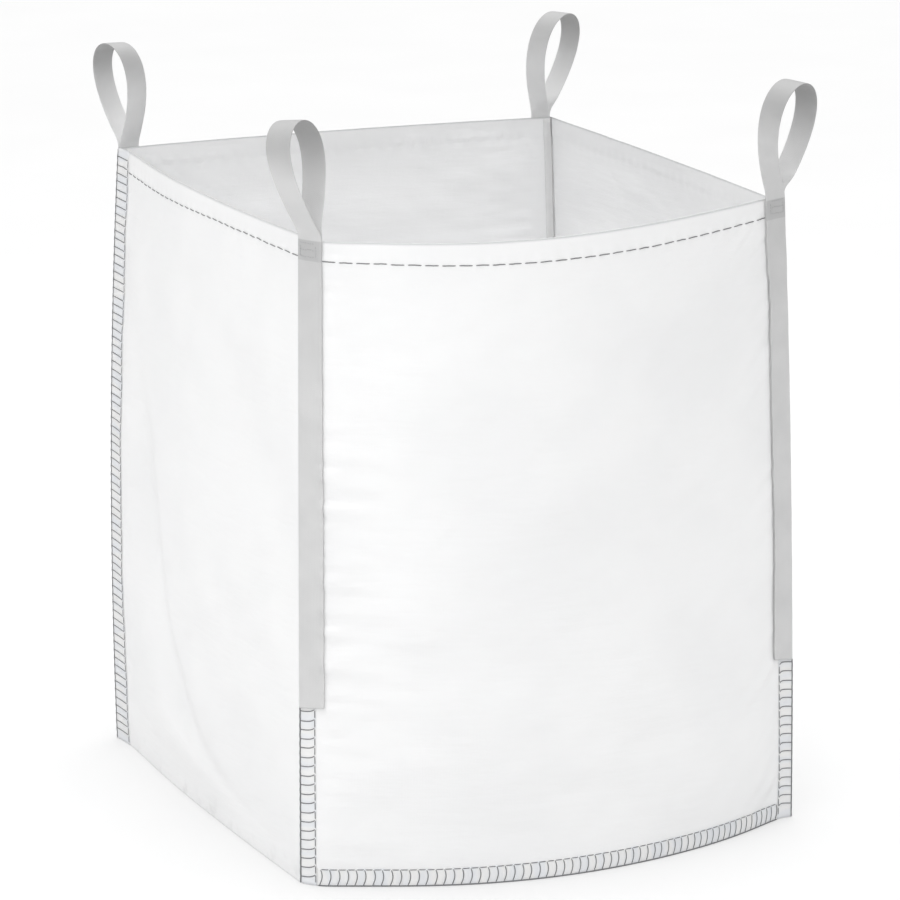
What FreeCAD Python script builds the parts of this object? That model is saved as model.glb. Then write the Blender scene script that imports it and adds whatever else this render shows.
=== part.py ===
"""Bulk bag (FIBC), 900 x 900 x 1100 mm: sewn fabric panels, seam bindings, stitching and four webbing loops.

Millimetres, +Z up, the front panel faces -Y, and the origin is the middle of the base on the floor.
Every wall is bowed: seen from above it is one circular arc between two corners of the square.
Lengths along a wall are turned into angles about the centre of its arc.
"""
import FreeCAD, Part
import math
import os
import Sketcher

DIMENSIONS = [
    # alias, value, meaning
    ("side", "900", "side of the square base, corner to corner"),
    ("height", "1100", "floor to rim"),
    ("fabric", "1.2", "coated woven fabric, with its coating and hem layers"),
    ("clearance", "0.15", "gap kept between neighbouring pieces"),
    ("front_bow", "125", "how far the middle of the front panel stands out"),
    ("back_bow", "12", "the same for the back panel"),
    ("left_bow", "12", "the same for the left wall"),
    ("right_bow", "12", "the same for the right wall"),
    ("wall_end", "448.7", "where the side walls stop, short of the front and back panels"),
    ("binding_width", "31.5", "binding of the front and bottom seams"),
    ("back_binding_width", "52", "the wider binding of the two upright back seams"),
    ("binding_thickness", "0.8", ""),
    ("overlock_pitch", "15", "one cross thread to the next"),
    ("thread", "1.1", "thread thickness as laid on the fabric"),
    ("thread_relief", "0.7", "how far a thread stands off the binding"),
    ("needle_inset", "2", "needle line, in from the inner edge of the binding"),
    ("purl_inset", "0.8", "purl line, in from the outer edge of the binding"),
    ("webbing_width", "45", ""),
    ("webbing_thickness", "2", ""),
    ("sewn_length", "803", "webbing sewn to the panel, down from the rim"),
    ("leg_rise", "4", "stacked legs above the rim, before the loop starts to move"),
    ("hinge_rise", "9.2", "height of the loop's bending line above the rim"),
    ("loop_height", "181", "bending line to crest"),
    ("loop_spread", "82", "sets how far the legs stand apart"),
    ("loop_slimness", "1.5", "a higher value keeps the legs together for longer above the rim"),
    ("leg_offset", "1.45", "each leg's centre line from the middle of the stack at the bending line"),
    ("hem_drop", "34", "rim to hem stitching"),
    ("hem_stitch", "24", "visible length of a hem stitch"),
    ("hem_pitch", "28", "one hem stitch to the next"),
    ("webbing_margin", "52", "corner to the first hem stitch beside the webbing"),
    ("binding_margin", "58", "corner to the first hem stitch beside a back binding"),
    ("plain_margin", "6", "corner to the first hem stitch where nothing is in the way"),
    ("tape_width", "14", "seam tape in the inner corners"),
    ("tape_thickness", "1", ""),
    ("tack_width", "30", "box stitching on the webbing"),
    ("tack_height", "22", ""),
    ("tack_drop", "5", "rim to the top of the box stitching"),
]
WALLS = {  # wall: (middle angle in degrees, axis it faces)
    "front": (-90, "y"),
    "right": (0, "x"),
    "back": (90, "y"),
    "left": (180, "x"),
}
# Each loop: wall it is sewn to, end of that wall's arc, turn of its crest in degrees, share of its height
# over which it twists, and how far the crest leans along x and y.
LOOPS = {
    "front_left": ("front", -1, -48, 0.7, -28, 18),
    "front_right": ("front", 1, -52, 0.22, 29, -12),
    "back_right": ("back", -1, -52, 0.25, 24, -9),
    "back_left": ("back", 1, 8, 0.7, -12, 8),
}

doc = FreeCAD.newDocument("bulk_bag")
sheet = doc.addObject("Spreadsheet::Sheet", "dims")
nodes = []


def fill_sheet():
    """Driving dimensions, then the values that follow from them."""
    rows = list(DIMENSIONS)
    for wall in WALLS:
        bow = f"{wall}_bow"
        rows.append((f"{wall}_radius", f"=(side * side / 4 + {bow} * {bow}) / (2 * {bow})", "outer face"))
        rows.append((f"{wall}_half", f"=asin(side / 2 / {wall}_radius)", "half angle of the arc"))
    for row, (alias, value, meaning) in enumerate(rows, start=1):
        sheet.set(f"A{row}", alias)
        sheet.set(f"B{row}", value)
        sheet.setAlias(f"B{row}", alias)
        sheet.set(f"C{row}", meaning)
    doc.recompute()


def value(alias):
    """A dimension as a plain number (angles in degrees)."""
    content = sheet.get(alias)
    return float(getattr(content, "Value", content))


def wall_sign(wall):
    """+1 for the walls on the positive side of their axis."""
    return 1 if wall in ("right", "back") else -1


def centre_expression(wall):
    """Position of the arc centre along the wall's axis, as an expression."""
    inward = f"(dims.side / 2 + dims.{wall}_bow - dims.{wall}_radius)"
    return inward if wall_sign(wall) > 0 else f"-{inward}"


def angle_at(wall, end, inset):
    """Angle of a point on the wall, inset (mm, an expression) from the given end (-1 or 1) of its arc."""
    turn = f"(dims.{wall}_half - ({inset}) / dims.{wall}_radius * 180 deg / pi)"
    return f"{WALLS[wall][0]} deg {'+' if end > 0 else '-'} {turn}"


def evaluate(expression):
    """The number an expression gives, in mm or degrees."""
    result = sheet.evalExpression(expression.replace("dims.", ""))
    return float(getattr(result, "Value", result))


def new_body(name):
    body = doc.addObject("PartDesign::Body", name)
    nodes.append((name, body))
    return body


def new_sketch(body, name, lift, wall=None):
    """A horizontal sketch, lifted by an expression, with its origin at the wall's arc centre."""
    sketch = body.newObject("Sketcher::SketchObject", name)
    plane = next(item for item in body.Origin.OriginFeatures if item.Role == "XY_Plane")
    sketch.AttachmentSupport = [(plane, "")]
    sketch.MapMode = "FlatFace"
    sketch.setExpression(".AttachmentOffset.Base.z", lift)
    if wall:
        sketch.setExpression(f".AttachmentOffset.Base.{WALLS[wall][1]}", centre_expression(wall))
    return sketch


def bind(sketch, constraint, name, expression):
    """Adds a named constraint driven by an expression."""
    index = sketch.addConstraint(constraint)
    sketch.renameConstraint(index, name)
    sketch.setExpression(f"Constraints.{name}", expression)


def pad(body, sketch, name, length):
    feature = body.newObject("PartDesign::Pad", name)
    feature.Profile = sketch
    feature.setExpression("Length", length)
    sketch.Visibility = False
    return feature


def sector_sketch(body, name, wall, radii, angles, lift):
    """Ring sector about the wall's arc centre: inner and outer radius, start and end angle."""
    sketch = new_sketch(body, name, lift, wall)
    up = FreeCAD.Vector(0, 0, 1)
    distance, ratio = ("DistanceY", "sin") if WALLS[wall][1] == "x" else ("DistanceX", "cos")
    corners = []
    for arc, radius in enumerate(radii):
        circle = Part.Circle(FreeCAD.Vector(0, 0, 0), up, evaluate(radius))
        first, last = (math.radians(evaluate(angle)) for angle in angles)
        sketch.addGeometry(Part.ArcOfCircle(circle, first, last))
        corners.append([sketch.getPoint(arc, end) for end in (1, 2)])
    for end in (0, 1):
        line = sketch.addGeometry(Part.LineSegment(corners[0][end], corners[1][end]))
        sketch.addConstraint(Sketcher.Constraint("Coincident", line, 1, 0, end + 1))
        sketch.addConstraint(Sketcher.Constraint("Coincident", line, 2, 1, end + 1))
    for arc, (radius, label) in enumerate(zip(radii, ("inner", "outer"))):
        sketch.addConstraint(Sketcher.Constraint("Coincident", arc, 3, -1, 1))
        bind(sketch, Sketcher.Constraint("Radius", arc, evaluate(radius)), f"{label}_radius", radius)
        for end, angle in enumerate(angles):
            reach = f"({radius}) * {ratio}({angle})"
            name = f"{label}_{('first', 'last')[end]}_end"
            bind(sketch, Sketcher.Constraint(distance, -1, 1, arc, end + 1, evaluate(reach)), name, reach)
    return sketch


def add_sector(body, name, wall, radii, angles, lift, length):
    """Pads a ring sector of the wall's arc onto the body."""
    sketch = sector_sketch(body, f"{name}_outline", wall, radii, angles, lift)
    return pad(body, sketch, name, length)


def offsets(wall, first, second):
    """Inner and outer radius from two distances (expressions) off the wall's outer face."""
    return f"dims.{wall}_radius + {first}", f"dims.{wall}_radius + {second}"


def fabric_radii(wall):
    return f"dims.{wall}_radius - dims.fabric", f"dims.{wall}_radius"


def whole_arc(wall):
    return angle_at(wall, -1, "0"), angle_at(wall, 1, "0")


def side_arc(wall):
    """Side walls stop just short of the front and back panels."""
    turn = f"asin(dims.wall_end / dims.{wall}_radius)"
    middle = WALLS[wall][0]
    return f"{middle} deg - {turn}", f"{middle} deg + {turn}"


def base_arc_ends(wall, centre):
    """Start and end angle (radians) of the base outline's arc on one wall, seen from the arc's centre."""
    middle = math.radians(WALLS[wall][0])
    half_x, half_y = value("side") / 2, value("wall_end")
    along_x = WALLS[wall][1] == "x"
    turns = []
    for cross in (-1, 1):
        x, y = (wall_sign(wall), cross) if along_x else (cross, wall_sign(wall))
        heading = math.atan2(y * half_y - centre.y, x * half_x - centre.x)
        turns.append((heading - middle + math.pi) % (2 * math.pi) - math.pi)
    return middle + min(turns), middle + max(turns)


def build_base_outline(body):
    """Four arcs, one per wall; along the sewn-in panels the cloth stops at their inner face."""
    base = new_sketch(body, "base_outline", "0")
    for wall in ("front", "right", "back", "left"):
        inset = "dims.fabric + dims.clearance" if wall in ("front", "back") else "0"
        along_x = WALLS[wall][1] == "x"
        along = evaluate(centre_expression(wall))
        centre = FreeCAD.Vector(along, 0, 0) if along_x else FreeCAD.Vector(0, along, 0)
        radius = f"dims.{wall}_radius - ({inset})"
        circle = Part.Circle(centre, FreeCAD.Vector(0, 0, 1), evaluate(radius))
        index = base.addGeometry(Part.ArcOfCircle(circle, *base_arc_ends(wall, centre)))
        axis, cross = ("DistanceX", "DistanceY") if along_x else ("DistanceY", "DistanceX")
        position = Sketcher.Constraint(axis, -1, 1, index, 3, along)
        bind(base, position, f"{wall}_centre", centre_expression(wall))
        base.addConstraint(Sketcher.Constraint(cross, -1, 1, index, 3, 0))
        bind(base, Sketcher.Constraint("Radius", index, evaluate(radius)), f"{wall}_arc", radius)
    for index in range(4):
        base.addConstraint(Sketcher.Constraint("Coincident", index, 2, (index + 1) % 4, 1))
    return base


def build_panels():
    """The U-shaped panel (left wall, base and right wall in one cloth) and the two panels sewn into it."""
    body = new_body("u_panel")
    pad(body, build_base_outline(body), "base", "dims.fabric")
    for wall in ("left", "right"):
        add_sector(body, f"{wall}_wall", wall, fabric_radii(wall), side_arc(wall), "0", "dims.height")
    for wall in ("front", "back"):
        panel = new_body(f"{wall}_panel")
        add_sector(panel, f"{wall}_cloth", wall, fabric_radii(wall), whole_arc(wall), "0", "dims.height")


def binding_radii(wall):
    return offsets(wall, "dims.clearance", "dims.clearance + dims.binding_thickness")


def thread_radii(wall):
    """Overlock threads lie a clearance above the binding."""
    start = "2 * dims.clearance + dims.binding_thickness"
    return offsets(wall, start, f"{start} + dims.thread_relief")


def build_upright_seam(name, wall, end, thread_top):
    """Binding along one end of a wall, and its overlock thread up to a height."""
    on_front = wall == "front"
    edge = "0" if on_front else "dims.side / 2 - dims.wall_end"
    width = "dims.binding_width" if on_front else "dims.back_binding_width"
    outer, inner = angle_at(wall, end, edge), angle_at(wall, end, f"{edge} + {width}")
    angles = (inner, outer) if end > 0 else (outer, inner)
    binding = new_body(f"{name}_binding")
    add_sector(binding, "binding", wall, binding_radii(wall), angles, "0", "dims.height")

    thread = new_body(f"{name}_overlock")
    lines = {
        "purl_line": f"{edge} + dims.purl_inset",
        "needle_line": f"{edge} + {width} - dims.needle_inset - dims.thread",
    }
    low = "dims.overlock_pitch"
    for label, inset in lines.items():
        pair = [angle_at(wall, end, inset), angle_at(wall, end, f"{inset} + dims.thread")]
        pair = pair[::-1] if end > 0 else pair
        add_sector(thread, label, wall, thread_radii(wall), pair, low, f"{thread_top} - {low}")
    first = angle_at(wall, end, f"{edge} + dims.purl_inset + dims.thread / 2")
    last = angle_at(wall, end, f"{edge} + {width} - dims.needle_inset - dims.thread / 2")
    pair = (last, first) if end > 0 else (first, last)
    cross = add_sector(thread, "cross_thread", wall, thread_radii(wall), pair, low, "dims.thread")
    pattern = thread.newObject("PartDesign::LinearPattern", "cross_threads")
    pattern.Originals = [cross]
    axis = next(item for item in thread.Origin.OriginFeatures if item.Role == "Z_Axis")
    pattern.Direction = (axis, [""])
    count = f"floor(({thread_top} - {low} - dims.thread) / dims.overlock_pitch)"
    pattern.setExpression("Length", f"{count} * dims.overlock_pitch")
    pattern.setExpression("Occurrences", f"{count} + 1")
    thread.Tip = pattern


def build_bottom_seam(name, wall, inset):
    """Binding along the bottom edge of the front or back panel, inset from both corners, and its thread."""
    angles = (angle_at(wall, -1, inset), angle_at(wall, 1, inset))
    binding = new_body(f"{name}_binding")
    add_sector(binding, "binding", wall, binding_radii(wall), angles, "0", "dims.binding_width")

    thread = new_body(f"{name}_overlock")
    lines = {
        "purl_line": "dims.purl_inset",
        "needle_line": "dims.binding_width - dims.needle_inset - dims.thread",
    }
    margin = f"{inset} + dims.thread"
    span = (angle_at(wall, -1, margin), angle_at(wall, 1, margin))
    for label, lift in lines.items():
        add_sector(thread, label, wall, thread_radii(wall), span, lift, "dims.thread")
    first = (angle_at(wall, -1, margin), angle_at(wall, -1, f"{margin} + dims.thread"))
    rise = "dims.binding_width - dims.purl_inset - dims.needle_inset - dims.thread"
    low = "dims.purl_inset + dims.thread / 2"
    cross = add_sector(thread, "cross_thread", wall, thread_radii(wall), first, low, rise)
    pattern = thread.newObject("PartDesign::PolarPattern", "cross_threads")
    pattern.Originals = [cross]
    pattern.Axis = (cross.Profile[0], ["N_Axis"])
    length = f"(dims.{wall}_half * dims.{wall}_radius * 2 * pi / 180 deg - 2 * ({margin}) - dims.thread)"
    count = f"floor({length} / dims.overlock_pitch)"
    pattern.setExpression("Angle", f"{count} * dims.overlock_pitch / dims.{wall}_radius * 180 deg / pi")
    pattern.setExpression("Occurrences", f"{count} + 1")
    thread.Tip = pattern


def under_webbing(wall):
    """Height of the webbing's lower face above the wall: the front seams run under their webbing."""
    return "2 * dims.clearance + dims.binding_thickness" if wall == "front" else "dims.clearance"


def webbing_layer(wall, layer):
    """Radii of the inner (0) or outer (1) sewn leg."""
    start = f"{under_webbing(wall)} + {layer} * (dims.webbing_thickness + dims.clearance)"
    return offsets(wall, start, f"{start} + dims.webbing_thickness")


def span_from_corner(wall, end, near, far):
    """Start and end angle of a strip that begins near (mm) and ends far (mm) from one corner."""
    pair = (angle_at(wall, end, far), angle_at(wall, end, near))
    return pair if end > 0 else pair[::-1]


def build_webbing(corner):
    """The two sewn legs of one webbing strip and the box stitching through them at the rim."""
    wall, end = LOOPS[corner][:2]
    angles = span_from_corner(wall, end, "0", "dims.webbing_width")
    for layer, label in enumerate(("inner", "outer")):
        leg = new_body(f"{corner}_webbing_{label}_leg")
        bottom, length = "dims.height - dims.sewn_length", "dims.sewn_length + dims.leg_rise"
        add_sector(leg, "leg", wall, webbing_layer(wall, layer), angles, bottom, length)

    stitch = new_body(f"{corner}_box_stitch")
    surface = f"{under_webbing(wall)} + 2 * dims.webbing_thickness + 2 * dims.clearance"
    radii = offsets(wall, surface, f"{surface} + dims.thread_relief")
    side_gap = "(dims.webbing_width - dims.tack_width) / 2"
    low = "dims.height - dims.tack_drop - dims.tack_height"
    far_gap = f"{side_gap} + dims.tack_width - dims.thread"
    for label, near in (("left_row", side_gap), ("right_row", far_gap)):
        row = span_from_corner(wall, end, near, f"{near} + dims.thread")
        add_sector(stitch, label, wall, radii, row, low, "dims.tack_height")
    level = span_from_corner(wall, end, side_gap, f"{side_gap} + dims.tack_width")
    for label, part_way in (("bottom_row", "0"), ("middle_row", "0.5"), ("top_row", "1")):
        lift = f"{low} + {part_way} * (dims.tack_height - dims.thread)"
        add_sector(stitch, label, wall, radii, level, lift, "dims.thread")


def build_inner_tape(corner, wall, end):
    """Seam tape on the inside of a corner."""
    tape = new_body(f"{corner}_inner_tape")
    outer = "- dims.fabric - dims.clearance"
    radii = (f"dims.{wall}_radius {outer} - dims.tape_thickness", f"dims.{wall}_radius {outer}")
    corner_gap = "2 * dims.fabric"
    angles = span_from_corner(wall, end, corner_gap, f"{corner_gap} + dims.tape_width")
    lift = "dims.fabric + dims.clearance"
    add_sector(tape, "tape", wall, radii, angles, lift, f"dims.height - 2 * ({lift})")


def arc_bar(wall, first_radius, last_radius, start, end, low, rise):
    """Solid ring sector from plain numbers (mm and degrees)."""
    along = evaluate(centre_expression(wall))
    centre = FreeCAD.Vector(along, 0, low) if WALLS[wall][1] == "x" else FreeCAD.Vector(0, along, low)
    up = FreeCAD.Vector(0, 0, 1)
    arcs = [Part.Circle(centre, up, radius) for radius in (first_radius, last_radius)]
    edges = [Part.ArcOfCircle(arc, math.radians(start), math.radians(end)).toShape() for arc in arcs]
    ends = [[edge.Vertexes[index].Point for edge in edges] for index in (0, -1)]
    edges += [Part.makeLine(*pair) for pair in ends]
    outline = Part.Wire(Part.__sortEdges__(edges))
    return Part.Face(outline).extrude(up * rise)


def build_hem(wall, first_margin, last_margin):
    """The row of separate stitches that holds the folded rim down, as one node."""
    radius = value(f"{wall}_radius")
    start = evaluate(angle_at(wall, -1, first_margin))
    stop = evaluate(angle_at(wall, 1, last_margin))
    pitch, stitch = (math.degrees(value(alias) / radius) for alias in ("hem_pitch", "hem_stitch"))
    count = int((stop - start - stitch) // pitch) + 1
    first_radius = radius + value("clearance")
    last_radius = first_radius + value("thread_relief")
    low = value("height") - value("hem_drop")
    stitches = [
        arc_bar(wall, first_radius, last_radius, start + index * pitch, start + index * pitch + stitch, low,
                value("thread"))
        for index in range(count)
    ]
    hem = doc.addObject("Part::Feature", f"{wall}_hem_stitching")
    hem.Shape = Part.makeCompound(stitches)
    nodes.append((hem.Name, hem))


def smooth(fraction):
    """0 to 1 with level ends."""
    fraction = min(max(fraction, 0.0), 1.0)
    return fraction * fraction * (3 - 2 * fraction)


def loop_frame(corner):
    """Middle of the webbing stack at the bending line, and the turn of the webbing there in degrees."""
    wall, end = LOOPS[corner][:2]
    theta = evaluate(angle_at(wall, end, "dims.webbing_width / 2"))
    stack = f"dims.{wall}_radius + {under_webbing(wall)} + dims.webbing_thickness + dims.clearance / 2"
    centre = evaluate(centre_expression(wall))
    radial = FreeCAD.Vector(math.cos(math.radians(theta)), math.sin(math.radians(theta)), 0)
    point = FreeCAD.Vector(0, centre, value("height") + value("hinge_rise")) + radial * evaluate(stack)
    turn = theta + 90 if wall_sign(wall) < 0 else theta - 90
    return point, turn


def loop_point(corner, theta):
    """Centre line of the loop and the direction across the webbing, for theta from 0 to 2 pi."""
    crest_turn, twist_share, lean_x, lean_y = LOOPS[corner][2:]
    base, base_turn = loop_frame(corner)
    height = value("loop_height")
    rise = height * (1 - math.cos(theta)) / 2
    spread = -value("loop_spread") * math.sin(theta) * math.sin(theta / 2) ** value("loop_slimness")
    spread -= value("leg_offset") * math.cos(theta / 2)
    turn = math.radians(base_turn + (crest_turn - base_turn) * smooth(rise / height / twist_share))
    across = FreeCAD.Vector(math.cos(turn), math.sin(turn), 0)
    facing = FreeCAD.Vector(-math.sin(turn), math.cos(turn), 0)
    lean = FreeCAD.Vector(lean_x, lean_y, 0) * (rise / height) ** 1.3
    return base + facing * spread + lean + FreeCAD.Vector(0, 0, rise), across, facing


def build_loop(corner):
    """The free loop: a strip lofted through rectangular sections along a teardrop."""
    samples, step = 24, 0.01
    half_width, half_thickness = value("webbing_width") / 2, value("webbing_thickness") / 2
    level_zone = 20.0  # the strip's end faces are level; sections turn square to the strip over this height
    rails = [[] for _ in range(4)]
    for index in range(samples + 1):
        theta = 2 * math.pi * index / samples
        centre, across, facing = loop_point(corner, theta)
        before = loop_point(corner, max(theta - step, 0))[0]
        after = loop_point(corner, min(theta + step, 2 * math.pi))[0]
        normal = across.cross(after - before).normalize()
        level = facing / facing.dot(normal) if abs(facing.dot(normal)) > 0.5 else normal
        base = loop_frame(corner)[0]
        normal = normal + (level - normal) * (1 - smooth((centre.z - base.z) / level_zone))
        for rail, (sideways, outward) in zip(rails, ((-1, -1), (1, -1), (1, 1), (-1, 1))):
            rail.append(centre + across * (sideways * half_width) + normal * (outward * half_thickness))
    sections = [Part.makePolygon([*points, points[0]]) for points in zip(*rails)]
    loop = doc.addObject("Part::Feature", f"{corner}_loop")
    loop.Shape = Part.makeLoft(sections, True)
    nodes.append((loop.Name, loop))


def check_and_export():
    """Every object recomputed without an error, every node a valid solid, then one STEP file per node."""
    doc.recompute()
    failed = [item.Name for item in doc.Objects if "Invalid" in item.State or "Error" in item.State]
    for name, item in nodes:
        shape = item.Shape
        if shape.isNull() or not shape.isValid() or not shape.Solids or shape.Volume <= 0:
            failed.append(name)
    if failed:
        raise SystemExit("not built: " + ", ".join(failed))
    os.makedirs("parts", exist_ok=True)
    for name, item in nodes:
        item.Label = name
        item.Shape.exportStep(f"parts/{name}.step")


fill_sheet()
build_panels()
strap_bottom = "(dims.height - dims.sewn_length - dims.thread)"
build_upright_seam("front_left", "front", -1, strap_bottom)
build_upright_seam("front_right", "front", 1, strap_bottom)
build_upright_seam("back_left", "left", -1, "(dims.height - dims.thread)")
build_upright_seam("back_right", "right", 1, "(dims.height - dims.thread)")
build_bottom_seam("front_bottom", "front", "dims.binding_width + 2 * dims.clearance")
build_bottom_seam("back_bottom", "back", "dims.clearance")
for corner_name, (corner_wall, corner_end, *_) in LOOPS.items():
    build_webbing(corner_name)
    build_inner_tape(corner_name, corner_wall, corner_end)
    build_loop(corner_name)
build_hem("front", "dims.webbing_margin", "dims.webbing_margin")
build_hem("back", "dims.webbing_margin", "dims.webbing_margin")
build_hem("left", "dims.binding_margin", "dims.plain_margin")
build_hem("right", "dims.plain_margin", "dims.binding_margin")
check_and_export()
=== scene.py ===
"""Bulk bag (FIBC): the looks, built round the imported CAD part. Metres, +Z up, the front panel faces -Y.

The four walls are one family of curved surfaces. lay() turns a place on a wall (distance along it,
height, distance off it) into a point, and the cloth, seams, threads and straps are all laid with it.
"""
import math

import bpy
import numpy as np
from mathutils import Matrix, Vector


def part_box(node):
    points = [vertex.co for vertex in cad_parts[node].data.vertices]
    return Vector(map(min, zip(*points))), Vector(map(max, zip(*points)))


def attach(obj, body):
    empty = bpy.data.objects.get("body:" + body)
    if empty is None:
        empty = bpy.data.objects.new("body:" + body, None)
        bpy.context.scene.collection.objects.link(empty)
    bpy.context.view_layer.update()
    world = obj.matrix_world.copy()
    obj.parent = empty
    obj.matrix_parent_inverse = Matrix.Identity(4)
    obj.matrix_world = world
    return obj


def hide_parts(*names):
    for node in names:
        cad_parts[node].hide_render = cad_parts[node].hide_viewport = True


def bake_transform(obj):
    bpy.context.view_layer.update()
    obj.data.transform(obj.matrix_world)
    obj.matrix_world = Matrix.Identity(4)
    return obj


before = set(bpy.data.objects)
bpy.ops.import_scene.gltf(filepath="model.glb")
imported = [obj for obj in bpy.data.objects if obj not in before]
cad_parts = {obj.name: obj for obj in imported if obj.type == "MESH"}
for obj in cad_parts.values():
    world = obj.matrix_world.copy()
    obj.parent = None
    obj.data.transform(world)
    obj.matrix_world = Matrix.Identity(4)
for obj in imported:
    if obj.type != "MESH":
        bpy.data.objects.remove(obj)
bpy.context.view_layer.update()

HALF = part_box("back_panel")[1].x
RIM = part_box("back_panel")[1].z
STRAP_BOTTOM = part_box("front_left_webbing_outer_leg")[0].z
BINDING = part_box("front_bottom_binding")[1].z
BACK_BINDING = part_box("back_left_binding")[1].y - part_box("back_left_binding")[0].y
HEM_LINE = (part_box("front_hem_stitching")[0].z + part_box("front_hem_stitching")[1].z) / 2

CLOTH = 0.0006          # coated woven cloth
FOLD = 0.0005           # radius of the folded rim and of the bottom fold, at the cloth's middle
HEM_TURN = 0.039        # depth of the hem inside the rim
WEBBING = 0.045         # width of the straps
WEBBING_HALF = 0.001    # half their thickness
THREAD = 0.0016         # thread width as laid
THREAD_SIDES = 8        # sides of a thread's section
STITCH_PITCHES = {"front": 0.0160, "left": 0.0150, "right": 0.0150}     # overlock, upright, by wall
BOTTOM_PITCH = 0.0147   # the same along the bottom seams
HEM_PITCH = 0.028       # the long stitches of the hem: one to the next
HEM_STITCH = 0.0225     # and their length
TAPE = 0.015            # width of the seam tape inside the corners

# Each corner: its quadrant, how far it leans off the square at the rim and at the floor (x, y),
# and how far the seam swells outwards half way up.
CORNERS = {
    "front_left": ((-1, -1), (0.0037, -0.0047), (0.0004, 0.0030), 0.002),
    "front_right": ((1, -1), (-0.0100, 0.0032), (0.0177, -0.0130), 0.007),
    "back_right": ((1, 1), (-0.0270, 0.0021), (0.0000, 0.0050), 0.010),
    "back_left": ((-1, 1), (0.0198, 0.0088), (-0.0045, 0.0005), 0.013),
}
# Each wall, anticlockwise seen from above: its two corners, its bulge and the bulge's lean towards the
# second corner at the rim and at the floor, and the rim's rise at its first corner, middle and second.
WALLS = {
    "front": ("front_left", "front_right", (0.129, -0.45), (0.136, -0.15), (0.0, -0.0070, 0.0035)),
    "right": ("front_right", "back_right", (0.002, 0.0), (0.012, 0.0), (-0.0100, -0.0030, 0.0)),
    "back": ("back_right", "back_left", (0.012, 0.0), (0.012, 0.0), (0.0, 0.0020, 0.0)),
    "left": ("back_left", "front_left", (0.0205, 0.0), (0.007, 0.0), (0.0010, 0.0040, 0.0060)),
}
# How steeply the front starts off at its first and second corner: at the floor, at the rim, and the share
# of its width over which that fades.
FIRST_SLOPE, SECOND_SLOPE = (1.08, 1.9, 0.03), (-0.66, -0.06, 0.045)
BELLY = 0.010                       # how much further every wall bulges half way up
TUCK, TUCK_REACH = 0.27, 0.08       # the left wall turns in beside the back left seam: slope, reach (m)
# Each strap: its wall, whether it lies at the wall's first (0) or second corner (1), whether it covers a
# seam binding, how far its sewn end sits above the plain height and how askew it is cut, and how much of
# its width is left where it is gathered at the rim. Its loop: the crest's turn in degrees and its rise
# across the webbing, the share of the height over which the outer and the inner leg twist, the spread,
# the height, the lean (x, y) and how slim its foot is.
STRAPS = {
    "front_left": {
        "wall": "front", "end": 0, "over_binding": True,
        "end_rise": 0.0135, "end_slope": 0.005, "foot_width": 1.0,
        "crest_turn": -52.2, "crest_rise": 0.0023, "twist": (1.0, 0.85), "spread": 0.0714,
        "height": 0.1942, "lean": (-0.0261, 0.0143), "slimness": 1.32,
    },
    "front_right": {
        "wall": "front", "end": 1, "over_binding": True,
        "end_rise": -0.007, "end_slope": -0.0065, "foot_width": 1.0,
        "crest_turn": -64.5, "crest_rise": -0.0016, "twist": (0.9, 0.15), "spread": 0.0652,
        "height": 0.202, "lean": (0.0125, -0.0379), "slimness": 1.0,
    },
    "back_right": {
        "wall": "back", "end": 0, "over_binding": False,
        "end_rise": 0.0, "end_slope": 0.0, "foot_width": 0.82,
        "crest_turn": -65.9, "crest_rise": -0.0002, "twist": (0.15, 0.15), "spread": 0.0595,
        "height": 0.1999, "lean": (0.0189, -0.041), "slimness": 1.06,
    },
    "back_left": {
        "wall": "back", "end": 1, "over_binding": False,
        "end_rise": 0.0, "end_slope": 0.0, "foot_width": 0.84,
        "crest_turn": 21.9, "crest_rise": 0.0015, "twist": (0.25, 0.15), "spread": 0.0566,
        "height": 0.1953, "lean": (-0.0374, -0.041), "slimness": 1.03,
    },
}


# ---------------------------------------------------------------- the walls' shape

def smooth(share):
    """A share from 0 to 1, eased at both ends."""
    share = np.clip(share, 0.0, 1.0)
    return share * share * (3 - 2 * share)


def dents(x, y, size_x, size_y, seed):
    """Smooth seeded noise from -1 to 1 over a plane, with bumps of about the given sizes."""
    lattice = np.random.default_rng(seed).uniform(-1, 1, (64, 64))
    gx, gy = np.asarray(x) / size_x + 7.3, np.asarray(y) / size_y + 11.7
    ix, iy = np.floor(gx).astype(int), np.floor(gy).astype(int)
    fx, fy = smooth(gx - ix), smooth(gy - iy)
    ix, iy = ix % 63, iy % 63
    near = lattice[ix, iy] * (1 - fx) + lattice[ix + 1, iy] * fx
    far = lattice[ix, iy + 1] * (1 - fx) + lattice[ix + 1, iy + 1] * fx
    return near * (1 - fy) + far * fy


def corner_at(name, level):
    """Plan position of a corner at a share of the height."""
    quadrant, top, bottom, swell = CORNERS[name]
    level = np.asarray(level, float)
    out = HALF + swell / math.sqrt(2) * 4 * level * (1 - level)
    return np.stack([side * out + low + (high - low) * level
                     for side, high, low in zip(quadrant, top, bottom)], -1)


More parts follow.
